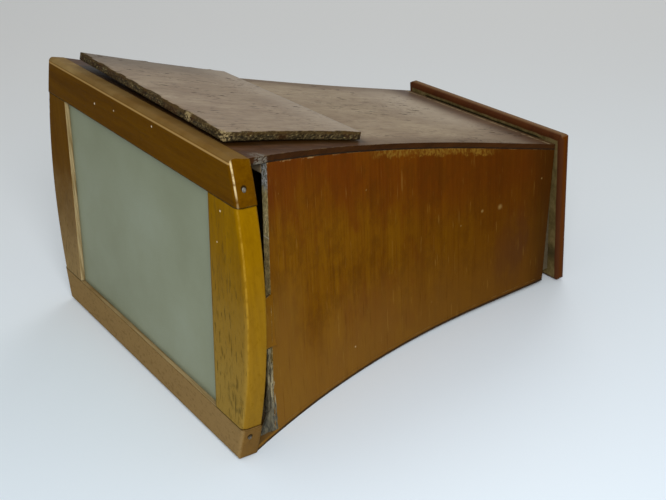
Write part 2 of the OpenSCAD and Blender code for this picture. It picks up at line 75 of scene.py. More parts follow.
LID_DEEP = 0.0665
CASE_TILT = math.radians(0.8627)
CASE_UP = Vector((0.0, -math.sin(CASE_TILT), math.cos(CASE_TILT)))
CASE_BACK = Vector((0.0, math.cos(CASE_TILT), math.sin(CASE_TILT)))


# Nodes of a finish
finishes = {}
# Sockets of a mix node that mixes colours
MIX_FACTOR, MIX_UNDER, MIX_UPPER, MIX_RESULT = 0, 6, 7, 2


class Finish:
    """The nodes of one finish, from its patterns to its shader, kept under its name."""

    def __init__(self, name):
        finishes[name] = bpy.data.materials.new(name)
        finishes[name].use_nodes = True
        self.tree = finishes[name].node_tree
        self.tree.nodes.clear()
        self.shader = self.add("ShaderNodeBsdfPrincipled")
        self.add("ShaderNodeOutputMaterial", {"Surface": self.shader.outputs["BSDF"]})
        coords = self.add("ShaderNodeTexCoord")
        self.place = coords.outputs["Object"]
        self.facing = coords.outputs["Normal"]

    def add(self, kind, given=None, **settings):
        """A new node with its settings and what is given to its inputs."""
        node = self.tree.nodes.new(kind)
        for key, value in settings.items():
            setattr(node, key, value)
        self.feed(node, given or {})
        return node

    def feed(self, node, given):
        """Gives values or other nodes' outputs to the inputs of a node."""
        for key, value in given.items():
            socket = node.inputs[key]
            if isinstance(value, bpy.types.NodeSocket):
                self.tree.links.new(value, socket)
            elif socket.type == "RGBA" and len(value) == 3:
                socket.default_value = (*value, 1.0)
            else:
                socket.default_value = value

    def maths(self, kind, first, second=0.0, clamp=False):
        return self.add("ShaderNodeMath", {0: first, 1: second}, operation=kind, use_clamp=clamp).outputs[0]

    plus = partialmethod(maths, "ADD")
    minus = partialmethod(maths, "SUBTRACT")
    times = partialmethod(maths, "MULTIPLY")
    least = partialmethod(maths, "MINIMUM")
    most = partialmethod(maths, "MAXIMUM")
    absolute = partialmethod(maths, "ABSOLUTE")

    def span(self, value, low, high, to_low=0.0, to_high=1.0):
        """A smooth step between two values."""
        given = {"Value": value, "From Min": low, "From Max": high, "To Min": to_low, "To Max": to_high}
        return self.add("ShaderNodeMapRange", given, interpolation_type="SMOOTHSTEP").outputs["Result"]

    def fall(self, value, low, high):
        return self.span(value, low, high, 1.0, 0.0)

    def vector(self, kind, first, second=ORIGIN):
        node = self.add("ShaderNodeVectorMath", {0: first, 1: second}, operation=kind)
        return node.outputs["Vector" if kind == "SUBTRACT" else "Value"]

    def along(self, start, direction):
        """Distance in millimetres from a start, along a direction."""
        moved = self.vector("SUBTRACT", self.place, tuple(start))
        return self.vector("DOT_PRODUCT", moved, tuple(MM * Vector(direction)))

    def across(self):
        """Distance in millimetres to the right of the middle."""
        return self.along(ORIGIN, RIGHT)

    def near(self, spot, radius, soft=0.5):
        """One inside a ball about a spot, fading out over the soft part of its radius."""
        distance = self.vector("LENGTH", self.vector("SUBTRACT", self.place, tuple(spot)))
        return self.fall(distance, radius * (1.0 - soft), radius)

    def towards(self, direction):
        """How far the surface faces a direction."""
        return self.vector("DOT_PRODUCT", self.facing, tuple(direction))

    def facing_to(self, direction, low, high):
        """One where the surface faces a direction, fading between two cosines."""
        return self.span(self.towards(direction), low, high)

    def within(self, value, low, high, soft):
        """One between two values, with soft ends."""
        rise = self.span(value, low - soft, low + soft)
        return self.times(rise, self.fall(value, high - soft, high + soft))

    def stretched(self, grain, stretch, shift=ORIGIN):
        """Millimetre coordinates, drawn out along the grain's axis."""
        scale = [MM, MM, MM]
        scale["xyz".index(grain)] /= stretch
        given = {"Vector": self.place, "Location": shift, "Scale": scale}
        return self.add("ShaderNodeMapping", given).outputs["Vector"]

    def noise(self, vector, scale, detail=3.0, rough=0.5, twist=0.0):
        given = {"Vector": vector, "Scale": scale, "Detail": detail, "Roughness": rough, "Distortion": twist}
        return self.add("ShaderNodeTexNoise", given).outputs["Fac"]

    def drawn(self, grain, stretch, shift, *pattern):
        """Noise drawn out along the grain's axis."""
        return self.noise(self.stretched(grain, stretch, shift), *pattern)

    def shades(self, value, stops):
        """Colours along a value."""
        node = self.add("ShaderNodeValToRGB", {"Fac": value})
        ramp = node.color_ramp
        while len(ramp.elements) < len(stops):
            ramp.elements.new(0.5)
        for element, (place, colour) in zip(ramp.elements, stops):
            element.position = place
            element.color = (*colour, 1.0)
        return node.outputs["Color"]

    def over(self, amount, under, upper, share=None):
        """An upper colour laid over another by an amount, or by a share of that amount."""
        if share is not None:
            amount = self.times(amount, share)
        given = {MIX_FACTOR: amount, MIX_UNDER: under, MIX_UPPER: upper}
        return self.add("ShaderNodeMix", given, data_type="RGBA").outputs[MIX_RESULT]

    def arris(self, radius):
        """Rounded normal of the edges, and how strongly it turns from the face."""
        rounded = self.add("ShaderNodeBevel", {"Radius": radius}, samples=6).outputs["Normal"]
        surface = self.add("ShaderNodeNewGeometry").outputs["Normal"]
        return rounded, self.minus(1.0, self.vector("DOT_PRODUCT", rounded, surface), clamp=True)

    def specks(self, scale, radius, shift):
        """Small scattered dots."""
        even = self.stretched("x", 1.0, shift)
        cells = self.add("ShaderNodeTexVoronoi", {"Vector": even, "Scale": scale}).outputs["Distance"]
        spot = self.fall(cells, radius * scale * 0.5, radius * scale)
        return self.times(spot, self.span(self.noise(even, scale * 0.45, 1.0), 0.56, 0.62))

    def relief(self, height, depth, normal=None):
        """Bumps of a depth in metres, on top of a rounded normal if there is one."""
        given = {"Strength": 1.0, "Distance": depth, "Height": height}
        if normal is not None:
            given["Normal"] = normal
        self.feed(self.shader, {"Normal": self.add("ShaderNodeBump", given).outputs["Normal"]})

    def colour(self, socket):
        self.feed(self.shader, {"Base Color": socket})

    def gloss(self, roughness, level=0.5, tint=(1.0, 1.0, 1.0), coat=0.0, coat_roughness=0.1):
        self.feed(self.shader, {"Roughness": roughness, "Specular IOR Level": level, "Specular Tint": tint,
                                "Coat Weight": coat, "Coat Roughness": coat_roughness})


# Woods
def grain_lines(finish, grain, stretch, broad, fine, shift):
    """Broad figure, streaks and fine fibres of a board, as one value."""
    figure = finish.drawn(grain, stretch * 0.25, shift, broad, 3.0, 0.55, 0.35)
    drawn = finish.stretched(grain, stretch, shift)
    streak = finish.noise(drawn, fine * 0.3, 3.0, 0.6, 0.3)
    fibre = finish.noise(drawn, fine, 4.0, 0.6)
    mixed = finish.plus(finish.times(figure, 0.42), finish.times(streak, 0.36))
    return finish.plus(mixed, finish.times(fibre, 0.22)), fibre


def pore_dashes(finish, grain, stretch, scale, low, high, shift):
    """Short dark dashes along the grain."""
    return finish.span(finish.drawn(grain, stretch, shift, scale, 2.0, 0.5), low, high)


def knot_rings(finish, centre, half_width, half_height):
    """An upright oval knot: a dark heart and one dark ring, broken up by the fibres."""
    oval = {"Vector": finish.place, "Location": centre, "Scale": (half_width, 0.02, half_height)}
    oval = finish.add("ShaderNodeMapping", oval, vector_type="TEXTURE").outputs["Vector"]
    wobble = finish.drawn("z", 1.8, ORIGIN, 0.6, 3.0, 0.6, 1.0)
    reach = finish.plus(finish.vector("LENGTH", oval), finish.times(wobble, 0.5))
    heart = finish.fall(reach, 0.3, 0.9)
    ring = finish.within(reach, 1.0, 1.2, 0.22)
    ring = finish.times(ring, finish.span(wobble, 0.35, 0.6))
    return finish.most(finish.times(heart, 0.4), ring)


def frame_joints(finish, height, rag, level):
    """Ragged dark lines along the joints of rails and stiles."""
    to_joint = [finish.absolute(finish.minus(height, joint * MM)) for joint in (LOWER_JOINT, UPPER_JOINT)]
    joint = finish.minus(finish.least(*to_joint), finish.times(rag, 0.75))
    return finish.times(finish.fall(joint, -0.3, 0.0), finish.fall(level, 0.5, 0.7))


def frame_reveal(finish, height, level, sideways):
    """The narrow faces round the glass opening."""
    to_side = finish.minus(finish.absolute(finish.across()), OPENING_HALF * MM)
    upright = finish.times(finish.within(to_side, -0.4, 0.4, 0.1), finish.span(sideways, 0.7, 0.9))
    sills = [finish.within(height, joint * MM - 0.4, joint * MM + 0.4, 0.1)
             for joint in (LOWER_JOINT, UPPER_JOINT)]
    inside = finish.times(finish.span(level, 0.7, 0.9), finish.fall(to_side, 0.0, 0.4))
    return finish.most(upright, finish.times(finish.most(*sills), inside))


def frame_bar_wood(name, grain, tones, dust, pore_depth, shift, dusty_top, gleam, knot=None, nails=(),
                   chips=(), dust_top=118.0):
    """A bar of the front frame; its lower front is dust-covered, its joints chipped, its reveal raw.

    The gleam, a painted highlight along its corner, has a strength, a colour, and the heights where it starts
    and is full.
    """
    finish = Finish(name)
    tone, fibre = grain_lines(finish, grain, 24.0, 0.05, 1.1, shift)
    wood = finish.shades(tone, list(zip((0.36, 0.5, 0.66), tones)))
    front = finish.facing_to(FRONT, 0.6, 0.9)
    height = finish.along(FRAME_FOOT, FRAME_UP)
    even = finish.stretched("x", 1.0, shift)
    cloud = finish.noise(even, 0.05, 3.0, 0.6)
    low_down = finish.fall(finish.plus(height, finish.times(cloud, 36.0)), 28.0, dust_top)
    low_down = finish.times(low_down, finish.plus(finish.times(front, 0.65), 0.35))
    wood = finish.over(low_down, wood, dust, 0.85)
    fleck = finish.drawn(grain, 1.6, shift, 0.55, 5.0, 0.75)
    wood = finish.over(finish.span(fleck, 0.5, 0.68, 0.0, 0.38), wood, tones[0])
    wood = finish.over(finish.span(fleck, 0.44, 0.3, 0.0, 0.3), wood, tones[2])
    pores = pore_dashes(finish, grain, 10.0, 1.2, 0.59, 0.66, shift)
    thick = finish.span(finish.noise(even, 0.045, 2.0), 0.36, 0.52)
    pores = finish.times(pores, finish.times(thick, front))
    pores = finish.times(pores, finish.span(height, 80.0, 58.0, 0.55, 1.0))
    wood = finish.over(finish.times(pores, pore_depth), wood, (0.06, 0.036, 0.006))
    if knot is not None:
        ring = finish.times(knot_rings(finish, knot, 0.0056, 0.0058), front)
        wood = finish.over(ring, wood, (0.05, 0.036, 0.01), 0.6)
    rag = finish.noise(even, 0.35, 3.0, 0.6)
    level = finish.absolute(finish.towards(FRAME_UP))
    joint = frame_joints(finish, height, rag, level)
    wood = finish.over(joint, wood, (0.02, 0.011, 0.003), 0.8)
    sideways = finish.absolute(finish.towards(RIGHT))
    reveal = frame_reveal(finish, height, level, sideways)
    raw = finish.shades(fibre, [(0.36, (0.23, 0.165, 0.07)), (0.62, (0.46, 0.36, 0.19))])
    wood = finish.over(reveal, wood, raw, 0.9)
    top_face = finish.times(finish.facing_to((0.0, 0.26, 0.965), 0.2, 0.4),
                            finish.fall(sideways, 0.5, 0.8))
    film = finish.plus(finish.times(finish.span(cloud, 0.35, 0.65), 0.4), 0.5)
    from_left = finish.span(finish.across(), -75.0, 30.0, 1.0, 0.42)
    wood = finish.over(finish.times(finish.times(top_face, film), from_left), wood, dusty_top)
    # painted highlight: a pale line along the rounded top front arris of the top rail
    painted_arris_highlight = finish.times(finish.within(height, 117.0, 117.7, 0.2), front)
    wood = finish.over(painted_arris_highlight, wood, (0.42, 0.26, 0.09), 0.75)
    for spot, radius in chips:
        wood = finish.over(finish.near(spot, radius, 0.5), wood, (0.75, 0.64, 0.45))
    for nail in nails:
        rust = finish.near(Vector(nail) + 0.0006 * FRAME_UP, 0.0014, 0.4)
        wood = finish.over(rust, wood, (0.012, 0.008, 0.003), 0.9)
    normal, turn = finish.arris(0.0012)
    sharp = finish.span(turn, 0.015, 0.12)
    worn = finish.times(sharp, finish.span(rag, 0.4, 0.65))
    wood = finish.over(worn, wood, (0.36, 0.21, 0.05), 0.3)
    # painted highlight: a pale gleam along the rounded front corners, broken up and fading downwards
    forward = finish.towards(-FRAME_BACK)
    corner = finish.span(finish.least(sideways, forward), 0.5, 0.66)
    corner = finish.times(corner, finish.span(rag, 0.36, 0.6, 0.2, 1.0))
    strength, pale, foot, head = gleam
    corner = finish.times(corner, finish.span(height, foot, head, 0.25, 1.0))
    wood = finish.over(finish.times(corner, strength), wood, pale)
    dots = finish.specks(0.085, 0.42, shift)
    wood = finish.over(dots, wood, (0.55, 0.42, 0.24), 0.7)
    finish.colour(wood)
    satin = finish.span(fibre, 0.3, 0.7, 0.34, 0.46)
    finish.gloss(finish.most(satin, finish.times(low_down, 0.6)), 0.004, (1.0, 0.6, 0.2))
    depth = finish.minus(fibre, finish.times(finish.most(pores, joint), 1.5))
    finish.relief(depth, 0.00005, normal)


# Chips in the polish of the right panel: spot and radius
PANEL_CHIPS = (((0.0529, 0.0455, 0.05), 0.0011), ((0.0529, 0.056, 0.049), 0.0018),
               ((0.0548, 0.0154, 0.0155), 0.0008), ((0.0534, 0.0329, 0.0468), 0.0006),
               ((0.0608, -0.022, 0.0817), 0.0006), ((0.0752, -0.07, 0.0985), 0.0005),
               ((0.0529, 0.0812, 0.0558), 0.0007))


def raw_end(finish, shift, height):
    """Colour of the raw ends at the card slot, grey at head and foot, and their splinters."""
    tone, _ = grain_lines(finish, "z", 9.0, 0.4, 2.2, (4, 4, 2))
    raw = finish.shades(tone, [(0.38, (0.3, 0.24, 0.1)), (0.5, (0.58, 0.48, 0.22)),
                               (0.62, (0.76, 0.65, 0.36))])
    raw = finish.over(finish.span(height, 84.0, 82.0, 0.0, 0.5), raw, (0.46, 0.33, 0.13))
    splinter = finish.span(finish.drawn("z", 1.6, shift, 1.2, 3.0, 0.7), 0.42, 0.58)
    ends = finish.most(finish.span(height, 100.0, 104.0), finish.span(height, 34.0, 14.0))
    grey = finish.shades(splinter, [(0.0, (0.02, 0.02, 0.02)), (1.0, (0.5, 0.52, 0.52))])
    raw = finish.over(splinter, raw, (0.06, 0.046, 0.02), 0.55)
    raw = finish.over(ends, raw, grey, 0.85)
    return finish.over(finish.within(height, 83.3, 83.9, 0.2), raw, (0.6, 0.54, 0.38)), splinter


def case_side_wood(name, shift, painted_foot_shadow):
    """Red-brown polished sides with upright grain; the ends at the card slot are raw."""
    finish = Finish(name)
    tone, fibre = grain_lines(finish, "z", 30.0, 0.035, 1.0, shift)
    red = finish.shades(tone, [(0.35, (0.072, 0.016, 0.0002)), (0.5, (0.106, 0.0255, 0.0003)),
                               (0.65, (0.138, 0.038, 0.0004))])
    olive = finish.shades(tone, [(0.35, (0.1, 0.032, 0.0003)), (0.5, (0.137, 0.049, 0.0004)),
                                 (0.65, (0.17, 0.068, 0.0006))])
    mottle = finish.drawn("z", 1.5, shift, 0.13, 5.0, 0.72)
    height = finish.along(FRAME_FOOT, CASE_UP)
    length = finish.along(FRAME_FOOT, CASE_BACK)
    under_top = finish.times(finish.along(TOP_EDGE, TOP_UP), -1.0)
    cloud = finish.drawn("z", 1.8, shift, 0.024, 4.0, 0.6, 0.5)
    lower = finish.span(finish.plus(under_top, finish.times(cloud, 50.0)), 32.0, 66.0)
    wood = finish.over(lower, red, olive)
    wood = finish.over(finish.span(mottle, 0.42, 0.66, 0.0, 0.42), wood, (0.066, 0.02, 0.0004))
    patch = finish.drawn("z", 2.2, shift, 0.05, 4.0, 0.65, 0.15)
    wood = finish.over(finish.span(patch, 0.48, 0.64, 0.0, 0.5), wood, (0.1, 0.02, 0.0006))
    # painted reflection of the pale floor: the lower part, and more so the lower front, is lighter and more
    # golden
    painted_floor_sheen = finish.span(finish.minus(height, finish.times(cloud, 50.0)), 22.0, -28.0)
    wood = finish.over(painted_floor_sheen, wood, (0.205, 0.096, 0.015), 0.65)
    painted_front_sheen = finish.times(finish.span(length, 40.0, 22.0), finish.span(height, 72.0, 46.0))
    wood = finish.over(painted_front_sheen, wood, (0.2, 0.096, 0.012), 0.55)
    # painted shade: the panel darkens towards its back end, where the light falls off
    painted_rear_shade = finish.span(finish.plus(length, finish.times(cloud, 40.0)), 60.0, 220.0)
    wood = finish.over(painted_rear_shade, wood, (0.055, 0.014, 0.0004), 0.7)
    stain = finish.most(finish.near((0.0529, 0.076, 0.02), 0.034, 0.8),
                        finish.near((-0.0529, 0.076, 0.02), 0.034, 0.8))
    stain = finish.times(stain, finish.span(patch, 0.4, 0.6))
    wood = finish.over(stain, wood, (0.05, 0.018, 0.008), 0.4)
    scratch = pore_dashes(finish, "z", 14.0, 1.1, 0.66, 0.74, (9, 2, 5))
    wood = finish.over(scratch, wood, (0.3, 0.16, 0.03), 0.22)
    shadow = pore_dashes(finish, "z", 16.0, 0.9, 0.6, 0.74, (1, 8, 4))
    wood = finish.over(shadow, wood, (0.06, 0.016, 0.0006), 0.28)
    ragged = finish.drawn("y", 1.6, shift, 0.3, 4.0, 0.65)
    band = finish.fall(finish.minus(under_top, finish.times(ragged, 9.0)), 0.0, 1.8)
    reach = finish.within(length, 78.0, 144.0, 8.0)
    grit = finish.span(finish.drawn("z", 2.2, shift, 1.1, 3.0, 0.7), 0.4, 0.62)
    rubbed = finish.times(finish.times(band, reach), finish.plus(finish.times(grit, 0.65), 0.12))
    wood = finish.over(rubbed, wood, (0.2, 0.103, 0.012))
    last = finish.span(finish.plus(length, finish.times(cloud, 10.0)), 166.0, 184.0)
    wood = finish.over(last, wood, (0.026, 0.009, 0.0004), 0.6)
    pale_line = finish.times(finish.within(under_top, 2.7, 3.1, 0.15), finish.span(ragged, 0.5, 0.6))
    pale_line = finish.times(pale_line, finish.span(length, 60.0, 40.0))
    wood = finish.over(pale_line, wood, (0.36, 0.24, 0.1), 0.6)
    dots = finish.specks(0.1, 0.5, shift)
    wood = finish.over(dots, wood, (0.5, 0.36, 0.18), 0.75)
    for spot, radius in PANEL_CHIPS:
        wood = finish.over(finish.near(spot, radius, 0.9), wood, (0.3, 0.19, 0.06), 0.5)
    normal, turn = finish.arris(0.0006)
    worn = finish.times(finish.span(turn, 0.03, 0.25), finish.span(ragged, 0.45, 0.6))
    wood = finish.over(worn, wood, (0.4, 0.25, 0.08), 0.4)
    # painted shadow: a dark ragged line along the lower arris, where the board meets the floor
    if painted_foot_shadow:
        foot = finish.fall(finish.plus(height, finish.times(ragged, 0.8)), 1.2, 1.9)
        wood = finish.over(foot, wood, (0.022, 0.013, 0.007), 0.85)
    raw, splinter = raw_end(finish, shift, height)
    end_face = finish.facing_to(FRONT, 0.6, 0.8)
    inner = finish.fall(finish.times(finish.across(), finish.towards(RIGHT)), -0.05, 0.05)
    wood = finish.over(inner, wood, (0.1, 0.07, 0.035), 0.9)
    wood = finish.over(end_face, wood, raw)
    under = finish.facing_to(DOWN, 0.8, 0.95)
    plain = finish.shades(tone, [(0.36, (0.1, 0.05, 0.018)), (0.66, (0.19, 0.105, 0.045))])
    wood = finish.over(under, wood, plain)
    finish.colour(wood)
    matt = finish.most(end_face, finish.most(inner, under))
    satin = finish.span(fibre, 0.3, 0.7, 0.26, 0.36)
    finish.gloss(finish.most(satin, finish.times(matt, 0.8)), 0.015, (1.0, 0.55, 0.16))
    depth = finish.plus(finish.times(fibre, 0.4), finish.times(splinter, finish.times(end_face, 5.0)))
    finish.relief(depth, 0.00006, normal)


# Dust and painted sheen along the grain's tone, and the chips of the lid's front edge: place and radius
LID_DUST_AND_SHEEN = ((0.38, (0.198, 0.132, 0.072)), (0.5, (0.276, 0.197, 0.118)), (0.62, (0.352, 0.266, 0.172)))
TOP_DUST_AND_SHEEN = ((0.36, (0.262, 0.186, 0.106)), (0.5, (0.342, 0.256, 0.158)), (0.66, (0.415, 0.323, 0.211)))
LID_CHIPS = ((0.0628, 0.0055), (0.0368, 0.0032))


def top_board_painted_light_and_border(finish, wood, dust_and_sheen_cover, cloud, back):
    """Painted sheen on the pale far part, clean dark polish where the lid rests with a painted shadow along
    its edge, painted shade behind the lid, and a dark border along the curved sides.
    """
    # painted sheen: the far part away from the lid is lighter and greyer
    far = finish.times(finish.span(finish.across(), 44.0, 6.0), finish.span(back, 112.0, 160.0, 0.0, 0.75))
    wood = finish.over(finish.times(far, dust_and_sheen_cover), wood, (0.45, 0.362, 0.265))
    aside = finish.absolute(finish.across())
    # painted shadow along the lid's edge; under the lid, where it rests, the polish is clean and dark
    lid_rest_and_painted_shadow = finish.span(finish.plus(aside, finish.times(back, 0.134)), 67.5, 64.5)
    lid_rest_and_painted_shadow = finish.times(lid_rest_and_painted_shadow, finish.span(back, 70.0, 67.0))
    wood = finish.over(lid_rest_and_painted_shadow, wood, (0.016, 0.008, 0.002), 0.7)
    # painted shade: a browner band just behind the lid
    behind_lid = finish.span(finish.plus(back, finish.times(cloud, 16.0)), 70.0, 100.0, 0.3, 0.0)
    wood = finish.over(finish.times(behind_lid, dust_and_sheen_cover), wood, (0.16, 0.094, 0.045))
    ahead = finish.most(finish.along(FLARE_CENTRE, FRONT), 0.0)
    beside = finish.minus(FLARE_CENTRE.x * MM, aside)
    squares = finish.plus(finish.times(ahead, ahead), finish.times(beside, beside))
    border = finish.minus(finish.maths("SQRT", squares), FLARE_RADIUS * MM)
    border = finish.span(finish.plus(border, finish.times(cloud, 8.0)), 5.0, 18.0, 0.64, 0.0)
    return finish.over(finish.times(border, dust_and_sheen_cover), wood, (0.085, 0.04, 0.013))


def lid_edge(finish, shift, back, lift, clean, grit):
    """Colour of the lid's rough edges with their golden crown, and the places of two chips."""
    rough = finish.shades(grit, [(0.4, (0.012, 0.009, 0.004)), (0.52, (0.05, 0.036, 0.015)),
                                 (0.62, (0.13, 0.097, 0.04)), (0.74, (0.34, 0.26, 0.11))])
    gouge = finish.span(finish.drawn("x", 1.0, shift, 0.12, 3.0, 0.6), 0.36, 0.56)
    side = finish.over(finish.plus(finish.times(gouge, 0.6), 0.35), clean, rough)
    raised = finish.times(finish.span(finish.across(), 63.0, -63.0),
                          finish.span(back, 66.0, 0.0, 0.0, LID_LIFT * MM))
    crown = finish.plus(finish.minus(lift, raised), finish.times(back, 0.009))
    crown = finish.span(finish.plus(crown, finish.times(gouge, 0.3)), 2.9, 3.5)
    crown = finish.times(crown, finish.span(gouge, 0.2, 0.8, 0.8, 0.45))
    chips = [finish.near((right, TOP_EDGE.y + 0.0005, TOP_EDGE.z + LID_T), radius, 0.6)
             for right, radius in LID_CHIPS]
    return finish.over(crown, side, (0.075, 0.042, 0.011)), finish.most(*chips)


def top_wood(name, shift, is_lid):
    """Brown board under a film of dust and painted sheen, with dark dashes along its length; the lid's edges
    are rough.
    """
    finish = Finish(name)
    tone, fibre = grain_lines(finish, "y", 26.0, 0.045, 1.0, shift)
    polish = finish.shades(tone, [(0.38, (0.036, 0.011, 0.0014)), (0.5, (0.06, 0.021, 0.003)),
                                  (0.63, (0.092, 0.036, 0.006))])
    # the pale grey film is dust and painted sheen: it stands in for the reflection of the bright room on the
    # polish
    film = finish.shades(tone, LID_DUST_AND_SHEEN if is_lid else TOP_DUST_AND_SHEEN)
    even = finish.stretched("y", 2.0, shift)
    cloud = finish.noise(even, 0.03, 3.0, 0.6)
    back = finish.along(TOP_EDGE, TOP_BACK)
    dust_and_sheen_cover = finish.span(cloud, 0.25, 0.6, 0.7, 1.0)
    if not is_lid:
        # under the lid the polish is clean; just behind the lid the film gives way to dark polish as painted
        # shade
        behind = finish.plus(back, finish.times(cloud, 14.0))
        dust_and_sheen_cover = finish.times(dust_and_sheen_cover, finish.span(behind, 66.0, 84.0))
        # painted reflection: near the back end the film gives way to dark polish, mirroring the eyepiece
        # board
        dust_and_sheen_cover = finish.times(dust_and_sheen_cover, finish.span(back, 151.0, 171.0, 1.0, 0.08))
    wood = finish.over(dust_and_sheen_cover, polish, film)
    blush = finish.drawn("y", 1.6, shift, 0.055, 4.0, 0.6, 0.4)
    wood = finish.over(finish.span(blush, 0.48, 0.68, 0.0, 0.32), wood, (0.15, 0.082, 0.042))
    streaks = pore_dashes(finish, "y", 16.0, 0.55, 0.52, 0.68, (4, 2, 8))
    wood = finish.over(streaks, wood, (0.13, 0.066, 0.032), 0.34)
    if is_lid:
        far_left = finish.span(finish.across(), -22.0, -60.0, 0.0, 0.65)
        wood = finish.over(far_left, wood, (0.1, 0.076, 0.05))
        wood = finish.over(finish.span(back, 44.0, 66.0, 0.0, 0.5), wood, (0.42, 0.335, 0.24))
    else:
        wood = top_board_painted_light_and_border(finish, wood, dust_and_sheen_cover, cloud, back)
    thick = finish.span(finish.noise(even, 0.06, 2.0), 0.44, 0.6)
    pores = pore_dashes(finish, "y", 9.0, 0.62, 0.6, 0.68, shift)
    fleck = pore_dashes(finish, "y", 6.0, 1.3, 0.61, 0.69, (2, 5, 9))
    marks = finish.times(finish.most(pores, finish.times(fleck, 0.7)), thick)
    wood = finish.over(marks, wood, (0.024, 0.014, 0.006), 0.7)
    rust = pore_dashes(finish, "y", 5.0, 0.8, 0.64, 0.7, (7, 1, 3))
    wood = finish.over(rust, wood, (0.06, 0.022, 0.008), 0.4)
    dots = finish.specks(0.06, 0.4, shift)
    wood = finish.over(dots, wood, (0.5, 0.42, 0.32), 0.7)
    face = finish.towards(TOP_UP)
    edge_low, edge_high = (0.82, 0.96) if is_lid else (0.5, 0.75)
    edge = finish.fall(finish.absolute(face), edge_low, edge_high)
    under = finish.fall(face, -0.6, -0.4)
    grit = finish.drawn("z", 0.5, shift, 0.75, 4.0, 0.65)
    clean = finish.shades(tone, [(0.38, (0.022, 0.007, 0.001)), (0.64, (0.055, 0.018, 0.003))])
    lift = finish.along(TOP_EDGE, TOP_UP)
    if is_lid:
        side, corner = lid_edge(finish, shift, back, lift, clean, grit)
        flake = finish.span(grit, 0.46, 0.56)
        pale = (0.42, 0.32, 0.15)
    else:
        joint = finish.fall(finish.plus(lift, finish.times(grit, 0.9)), -1.75, -1.35)
        side = finish.over(joint, clean, (0.014, 0.008, 0.004), 0.85)
        corner = finish.near((0.0772, -0.0788, 0.1135), 0.005, 0.4)
        flake = finish.span(grit, 0.42, 0.55)
        pale = (0.19, 0.17, 0.13)
    wood = finish.over(edge, wood, side)
    wood = finish.over(finish.times(corner, flake), wood, pale, 0.7)
    bare = finish.shades(tone, [(0.36, (0.11, 0.075, 0.04)), (0.66, (0.24, 0.18, 0.1))])
    wood = finish.over(under, wood, bare)
    normal, turn = finish.arris(0.0008 if is_lid else 0.0004)
    chafe = finish.drawn("y", 1.4, shift, 0.4, 4.0, 0.65)
    sharp = finish.span(turn, 0.02, 0.2)
    wood = finish.over(sharp, wood, (0.035, 0.018, 0.007), 0.6)
    worn = finish.times(sharp, finish.span(chafe, 0.5, 0.6))
    if is_lid:
        wood = finish.over(worn, wood, (0.34, 0.24, 0.1), 0.6)
    else:
        worn = finish.times(worn, finish.span(back, 70.0, 105.0, 0.5, 0.08))
        wood = finish.over(worn, wood, (0.34, 0.24, 0.1))
        rear_line = finish.times(finish.within(back, 175.2, 176.6, 0.2), finish.span(face, 0.9, 0.98))
        rear_line = finish.times(rear_line, finish.span(chafe, 0.35, 0.55))
        wood = finish.over(rear_line, wood, (0.26, 0.19, 0.1))
    finish.colour(wood)
    sheen = finish.span(fibre, 0.3, 0.7, 0.36, 0.44)
    dull = finish.most(finish.most(edge, under), marks)
    finish.gloss(finish.most(sheen, finish.times(dull, 0.7)), 0.1 if is_lid else 0.04, (1.0, 0.92, 0.8))
    depth = finish.minus(finish.times(fibre, 0.3), finish.times(marks, 0.3))
    if is_lid:
        depth = finish.plus(depth, finish.times(grit, finish.times(edge, 6.0)))
    finish.relief(depth, 0.00005, normal)


